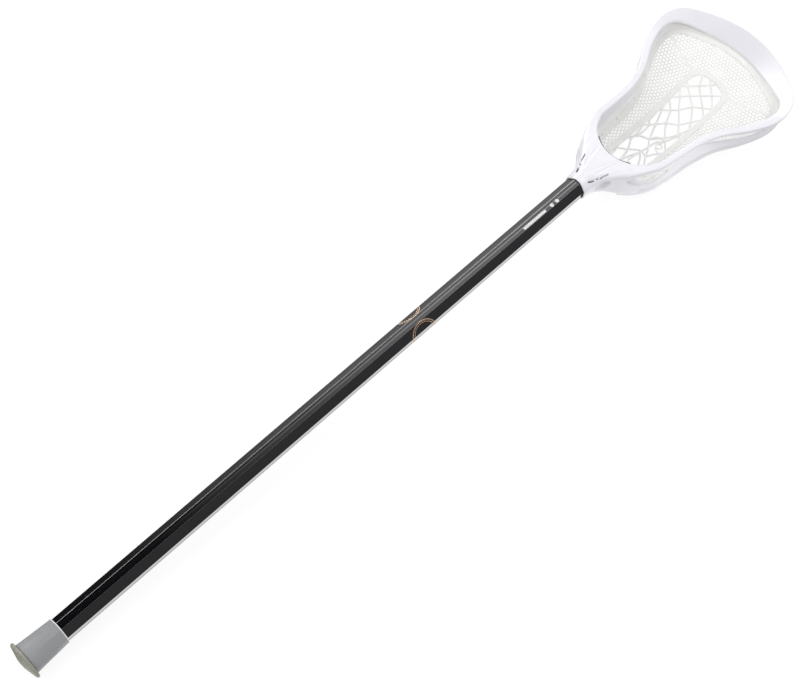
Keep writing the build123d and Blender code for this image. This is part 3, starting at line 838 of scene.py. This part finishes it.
def ribbon(line, width, thick, closed, cords, lift):
    """Woven tape along a plan line: ribs along it, and yarns that cross it."""
    line = evenly(line, 0.7, closed)
    normals, _ = plan_normals(line, closed)
    across = np.linspace(-1, 1, 4 * cords + 1)
    rings = []
    for i, (p, n) in enumerate(zip(line, normals)):
        x, y = (p[k] + n[k] * across * width / 2 for k in (0, 1))
        base = sag_height(x, y)
        rib = np.abs(np.cos(across * math.pi * cords / 2))
        weave = 0.5 + 0.5 * np.cos(i * 1.54 + across * cords * math.pi)
        fall = 1 - np.abs(across) ** 6
        upper = base + lift + (0.28 * rib + 0.22 * weave) * fall - 0.5 * (1 - fall)
        lower = base + lift - thick + 0.5 * (1 - fall)
        under = np.column_stack([x, y, lower])[::-1]
        rings.append(np.vstack([np.column_stack([x, y, upper]), under]))
    return np.vstack(rings), tube_faces(len(rings), len(rings[0]), closed)


def wall_skin(station, share):
    """Points up the inner side of the wall, from the back rail's ledge to a share of the way."""
    _, _, top, rail, drop, foot, inset, base = station
    slope = wall_slope(inset)
    inner_top = top + drop
    web_top = inset * 0.25 + 3.2 + slope * (rail - 4.2 - inset * 0.25)
    path = np.array([
        (inset + base, foot + 6.3 - 4.8 * slope),
        (inset + 3.2 + slope * (base - 3.6), foot + 9.2 - 7.2 * slope),
        (web_top, inner_top - 7.5 + 5.4 * slope),
        (rail - 0.2, inner_top - 5.0 + 3.6 * slope),
        (rail, inner_top - 0.4),
    ]) + (0.35, 0.0)
    return points_at(path, np.linspace(0, max(share, 0.02) * distances(path)[-1], 9))


def make_hem():
    """Solid-knit hem that climbs from the border onto the back rail and up to the scoop's edge."""
    stations = both_walls(12)[14:-14]
    rings = []
    for station, d in zip(stations, plan_directions(stations)):
        along, out, _, rail, _, _, inset, base = station
        climb = float(np.clip((172.0 - along) / 60.0, 0.0, 1.0))
        reach = float(np.clip((along - 250.0) / 26.0, 0.0, 1.0))
        low = np.array([max(rail, inset + base) + 2.8 + 2.6 * reach, 0.0])
        low[1] = sag_height(along + d[1] * low[0], out - d[0] * low[0]) - 0.45
        inner = np.vstack([[low], wall_skin(station, max(0.2 * climb, reach))])
        section = np.vstack([inner, (inner - (0.7, 0.15))[::-1]])
        rings.append(on_wall(station, d, section))
    return np.vstack(rings), tube_faces(len(rings), 20)


def make_net(outer, inner):
    """Fine mesh: hexagonal cells of yarn between the border and the channel's band."""
    step_x = MESH_PITCH * math.sqrt(3) / 2
    radius = MESH_PITCH / math.sqrt(3)
    keys, points, faces = {}, [], []
    ratio = MESH_HOLE / MESH_PITCH
    for i in range(int((300 - 50) / step_x)):
        cx = 50 + i * step_x
        centres = np.arange(-22, 23) * MESH_PITCH + (MESH_PITCH / 2 if i % 2 else 0)
        column = np.column_stack([np.full(len(centres), cx), centres])
        keep = inside(outer, *column.T) & ~inside(inner, *column.T)
        filled = np.any([off_line(column, *seam)[1] < SEAM_WIDTH for seam in SEAMS], axis=0)
        for cy, solid in zip(centres[keep], filled[keep]):
            ring, hole = [], []
            for k in range(6):
                turn = math.radians(60 * k)
                vx, vy = cx + radius * math.cos(turn), cy + radius * math.sin(turn)
                key = (round(vx * 20), round(vy * 20))
                if key not in keys:
                    keys[key] = len(points)
                    points.append((vx, vy))
                ring.append(keys[key])
                hole.append(len(points))
                wobble = 1 + 0.06 * random.uniform(-1, 1)
                points.append((cx + (vx - cx) * ratio * wobble, cy + (vy - cy) * ratio * wobble))
            for k in range(6):
                n = (k + 1) % 6
                faces.append((ring[k], ring[n], hole[n], hole[k]))
            if solid:
                faces.append(tuple(hole))
    p = np.array(points)
    z = sag_height(p[:, 0], p[:, 1]) - 0.35
    return np.column_stack([p, z]), faces


def strand(path, half_width, half_thick, knots=(), over=0.0):
    """Braided cord along a line of points: flattened, and thicker at its knots."""
    path = np.asarray(path, float)
    d = np.gradient(path, axis=0)
    d /= np.linalg.norm(d, axis=1)[:, None]
    side = np.column_stack([-d[:, 1], d[:, 0], np.zeros(len(d))])
    side /= np.linalg.norm(side, axis=1)[:, None]
    up = np.cross(d, side)
    swell = np.zeros(len(path))
    for knot in knots:
        swell += np.exp(-(np.linalg.norm(path[:, :2] - knot, axis=1) / 1.6) ** 2)
    swell = np.minimum(swell, 1.0)
    around = 10
    rings = []
    for p, s, u, w, place in zip(path, side, up, swell, distances(path)):
        for k in range(around):
            turn = 2 * math.pi * k / around
            braid = 1 + 0.10 * math.cos(2 * turn + place * 2.6)
            wide = half_width * (1 + 0.45 * w) * braid
            thick = half_thick * (1 + 0.35 * w) * braid
            rings.append(p + s * math.cos(turn) * wide + u * (math.sin(turn) * thick + over))
    return np.array(rings), tube_faces(len(path), around)


def make_strands():
    """The cords of the channel: each smooth between the points where it meets others."""
    points = [tuple(p) for path in STRANDS for p in path]
    knots = sorted({p for p in points if points.count(p) > 1})
    parts = []
    for i, path in enumerate(STRANDS):
        plan = evenly(curve_through(path, 8), 0.7)
        plan = plan[plan[:, 0] > 62.0]
        over = 0.28 if i % 2 else -0.28
        z = sag_height(plan[:, 0], plan[:, 1]) - 0.85
        cord = np.column_stack([plan, z])
        parts.append(strand(cord, CORD_HALF_WIDTH, CORD_HALF_THICK, knots, over))
    turns = np.linspace(0, 2 * math.pi, 33)
    ring = RING_AT + RING_RADIUS * np.column_stack([np.cos(turns), np.sin(turns)])
    z = sag_height(ring[:, 0], ring[:, 1]) - 0.4
    parts.append(strand(np.column_stack([ring, z]), 0.8, 0.6))
    return merge(parts)


def merge(parts):
    """One list of points and faces from several."""
    points, faces, offset = [], [], 0
    for p, f in parts:
        points.append(np.asarray(p))
        faces += [tuple(i + offset for i in face) for face in f]
        offset += len(p)
    return np.vstack(points), faces


def make_pocket(materials):
    """The woven pocket in its four zones."""
    edge = pocket_outline()
    band_loop = channel_line(BAND_WIDTH / 2)
    band_start = band_loop[:, 0] > 61.0
    outer = moved_in(edge, TAPE_WIDTH - 1.2)
    inner = channel_line(BAND_WIDTH - 1.2)
    points, faces = make_net(outer, inner)
    net = new_object("pocket_fine_mesh", head_to_row(points), faces, materials["mesh"])
    thick = net.modifiers.new("yarn", "SOLIDIFY")
    thick.thickness = 0.00085
    thick.offset = -1.0
    round_off = net.modifiers.new("round", "SUBSURF")
    round_off.levels = 1
    round_off.render_levels = 1
    apply_modifiers(net)
    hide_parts("pocket_mesh_panel")

    flat_tape = ribbon(moved_in(edge, TAPE_WIDTH / 2), TAPE_WIDTH, CLOTH, True, 4, 0.0)
    points, faces = merge([flat_tape, make_hem()])
    tape = new_object("pocket_border_tape", head_to_row(points), faces, materials["tape"])
    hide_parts("pocket_edge_tape")

    points, faces = ribbon(band_loop[band_start], BAND_WIDTH, CLOTH, False, 5, 0.1)
    band = new_object("pocket_channel_band_weave", head_to_row(points), faces, materials["tape"])
    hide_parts("pocket_channel_band")

    points, faces = make_strands()
    cords = new_object("pocket_channel_cords", head_to_row(points), faces, materials["cord"])
    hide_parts("pocket_channel_lattice")


# ---------------- shaft marks

def around_side(q):
    """Point (y, z) on the tube at a distance q round from the middle of its +Y side."""
    reach = abs(q)
    if reach <= SIDE_HALF:
        y, z, normal = SHAFT_WIDE - 0.1, reach, (1.0, 0.0)
    else:
        share = (reach - SIDE_HALF) / FACET
        y = SHAFT_WIDE - share * FACET_WIDE
        z = SIDE_HALF + share * FACET_TALL
        normal = (FACET_TALL / FACET, FACET_WIDE / FACET)
        y -= SIDE_DIP * normal[0] * math.sin(math.pi * share)
        z -= SIDE_DIP * normal[1] * math.sin(math.pi * share)
    return y, math.copysign(z, q), normal[0], math.copysign(normal[1], q)


def print_ring(side, at, radius, width, steps=120):
    """Printed ring wrapped round one side of the tube."""
    points, faces = [], []
    for i in range(steps):
        turn = 2 * math.pi * i / steps
        for reach in (radius - width / 2, radius + width / 2):
            q = max(-RING_EDGE, min(RING_EDGE, reach * math.sin(turn)))
            y, z, ny, nz = around_side(q)
            x = at + reach * math.cos(turn)
            points.append((x, side * (y + 0.06 * ny), z + 0.06 * nz))
            points.append((x, side * (y - 0.25 * ny), z - 0.25 * nz))
    for i in range(steps):
        a, b = 4 * i, 4 * ((i + 1) % steps)
        faces += [(a, a + 2, b + 2, b), (a + 2, a + 3, b + 3, b + 2), (a + 3, a + 1, b + 1, b + 3),
                  (a + 1, a, b, b + 1)]
    return np.array(points), faces


def make_rings(material):
    """The plain bronze rings of the shaft, a wide and a narrow one on each side."""
    rings = [print_ring(side, RINGS_AT, radius, width) for side in (1, -1) for radius, width in RINGS]
    points, faces = merge(rings)
    obj = new_object("shaft_bronze_rings", stick_to_row(points), faces, material)
    return obj


def around_front(q):
    """Point (y, z) and normal on the tube at a distance q round from the middle of its front flat."""
    reach = abs(q)
    if reach <= FRONT_HALF:
        dip = FRONT_DIP * (1 - (reach / FRONT_HALF) ** 2)
        return q, SHAFT_TALL - dip, 0.0, 1.0
    share = (reach - FRONT_HALF) / FACET
    ny, nz = FACET_TALL / FACET, FACET_WIDE / FACET
    dip = FRONT_DIP * (1 - (2 * share - 1) ** 2)
    y = FRONT_HALF + share * FACET_WIDE - dip * ny
    z = SHAFT_TALL - share * FACET_TALL - dip * nz
    return math.copysign(y, q), z, math.copysign(ny, q), nz


def print_patch(outline_at, start, end, steps):
    """Printed shape on the tube's front: outline_at gives its two edges at a distance along it."""
    rings = []
    for x in np.linspace(start, end, steps):
        low, high = outline_at(x)
        top, under = [], []
        for q in np.linspace(low, high, 9):
            y, z, ny, nz = around_front(q)
            top.append((x, y + 0.12 * ny, z + 0.12 * nz))
            under.append((x, y - 0.2 * ny, z - 0.2 * nz))
        rings.append(top + under[::-1])
    return np.vstack(rings), tube_faces(len(rings), 18)


def make_marks(material):
    """Plain printed marks on the front of the tube near the head: a long bar and two dots."""
    def capsule(middle, half_long, half_wide):
        def edges(x):
            short = max(0.0, abs(x - middle) - (half_long - half_wide))
            reach = math.sqrt(max(half_wide ** 2 - short ** 2, 0.0)) + 0.02
            return MARKS_ROUND - reach, MARKS_ROUND + reach
        return print_patch(edges, middle - half_long, middle + half_long, 40)
    points, faces = merge([capsule(*mark) for mark in MARKS])
    obj = new_object("shaft_printed_marks", stick_to_row(points), faces, material)
    return obj


# ---------------- surroundings

def add_area(name, place, power):
    """Soft square light that faces the head's end of the stick, unseen by the camera and by gloss."""
    light = bpy.data.lights.new(name, "AREA")
    light.shape = "RECTANGLE"
    light.size = light.size_y = 2.6
    light.energy = power
    obj = bpy.data.objects.new(name, light)
    bpy.context.scene.collection.objects.link(obj)
    obj.location = place
    obj.rotation_euler = (Vector((0.1, 0, 0)) - Vector(place)).to_track_quat("-Z", "Y").to_euler()
    obj.visible_glossy = False
    obj.visible_camera = False


def make_floor():
    """Floor that the camera sees as plain and pale, with a brighter card ahead in what gloss mirrors."""
    mesh = bpy.data.meshes.new("studio_floor")
    half = 12.0
    mesh.from_pydata([(-half, -half, 0), (half, -half, 0), (half, half, 0), (-half, half, 0)], [],
                     [(0, 1, 2, 3)])
    floor = bpy.data.objects.new("studio_floor", mesh)
    floor.location.z = -0.0002
    bpy.context.scene.collection.objects.link(floor)
    material, tree, shader, coords = start_material("floor_paper")
    link = tree.links.new
    ray = node(tree, "ShaderNodeLightPath").outputs
    paper = greys(tree, noise(tree, coords, 3.0), [(0.3, 0.24), (0.7, 0.26)])
    link(mixed(tree, ray["Is Glossy Ray"], paper, (0.0, 0.0, 0.0, 1.0)), shader.inputs["Base Color"])
    set_values(shader, Roughness=1.0, Specular_IOR_Level=0.0, Emission_Strength=1.0)
    material.cycles.emission_sampling = "NONE"
    seen = mixed(tree, ray["Is Camera Ray"], (0.42, 0.42, 0.42, 1.0), (0.80, 0.80, 0.80, 1.0))
    place = node(tree, "ShaderNodeSeparateXYZ")
    link(coords, place.inputs[0])
    card = greys(tree, scaled(tree, place.outputs["X"], 1.0, 0.55),
                 [(0.0, 0.0), (0.15, 0.05), (0.45, 0.55), (1.0, 0.8)])
    strip = greys(tree, scaled(tree, place.outputs["Y"], 2.0, 0.5), [(0.25, 0.09), (0.35, 1.8)])
    side = greys(tree, place.outputs["Y"], [(0.0, 0.0), (0.01, 1.0)])
    mirrored = mixed(tree, side, strip, card)
    link(mixed(tree, ray["Is Glossy Ray"], seen, mirrored), shader.inputs["Emission Color"])
    mesh.materials.append(material)


def paint_world(tree):
    """Even pale surroundings; what gloss mirrors is darker overhead and brighter ahead."""
    link = tree.links.new
    bpy.context.scene.world.cycles.sampling_method = "NONE"
    even = tree.nodes["Background"]
    set_values(even, Color=(1.0, 1.0, 1.0, 1.0), Strength=0.86)
    split = tree.nodes.new("ShaderNodeSeparateXYZ")
    link(tree.nodes.new("ShaderNodeTexCoord").outputs["Generated"], split.inputs[0])
    ahead = greys(tree, split.outputs["X"], AHEAD)
    across = scaled(tree, split.outputs["Y"], 0.5, 0.5)
    overhead = mixed(tree, 1.0, ahead, greys(tree, across, OVERHEAD), "MULTIPLY")
    low = ramp(tree, split.outputs["Z"], [(0.0, (0.03,) * 3), (0.05, (0.05,) * 3),
                                          (0.11, (0.30, 0.30, 0.31))])
    height = greys(tree, split.outputs["Z"], [(0.28, 0.0), (0.42, 1.0)])
    around = mixed(tree, height, low, overhead)
    mirrored = tree.nodes.new("ShaderNodeBackground")
    link(mixed(tree, 1.0, around, greys(tree, across, EDGE_LIGHTS), "ADD"), mirrored.inputs["Color"])
    choose = tree.nodes.new("ShaderNodeMixShader")
    link(tree.nodes.new("ShaderNodeLightPath").outputs["Is Glossy Ray"], choose.inputs[0])
    link(even.outputs[0], choose.inputs[1])
    link(mirrored.outputs[0], choose.inputs[2])
    link(choose.outputs[0], tree.nodes["World Output"].inputs["Surface"])


def make_studio():
    """Light, world and camera."""
    world = bpy.data.worlds.new("studio")
    bpy.context.scene.world = world
    world.use_nodes = True
    paint_world(world.node_tree)
    add_area("key", (-0.6, 1.6, 2.6), 30.0)
    add_area("fill", (1.2, -1.8, 2.2), 14.0)
    camera = bpy.data.cameras.new("camera")
    camera.lens = 63.577
    camera.sensor_width = 36.0
    camera.shift_x = 0.00327
    camera.shift_y = -0.00380
    camera.clip_start = 0.01
    obj = bpy.data.objects.new("camera", camera)
    bpy.context.scene.collection.objects.link(obj)
    obj.location = (-0.62586, -0.33951, 1.25702)
    obj.rotation_euler = Euler([math.radians(a) for a in (27.5455, -7.4302, -45.0971)])
    bpy.context.scene.camera = obj
    bpy.context.scene.view_settings.view_transform = "Standard"
    bpy.context.scene.view_settings.look = "None"


def paint_node(name, material):
    """Give a carried-over CAD node its material."""
    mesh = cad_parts[name].data
    mesh.materials.clear()
    mesh.materials.append(material)


def main():
    materials = make_materials()
    make_head(materials["nylon"])
    make_pad(materials["foam"])
    make_pocket(materials)
    make_rings(materials["bronze"])
    make_marks(materials["pale"])
    paint_node("shaft_tube", materials["shaft"])
    paint_node("head_screw", materials["steel"])
    paint_node("pocket_pins", materials["pins"])
    # Pale strip on the sleeve's lip: a painted highlight.
    sleeve = add_painted_light_band(materials["sleeve"], 0.0324, (0.75, 0.75, 0.76, 1.0))
    # Near-black strip at the sleeve's end next to the flange: painted shade in the gap between the two
    # parts.
    paint_node("butt_sleeve", add_painted_light_band(sleeve, -0.0029, (0.06, 0.06, 0.05, 1.0), beyond=False))
    paint_node("butt_flange", materials["flange"])
    make_floor()
    make_studio()


main()
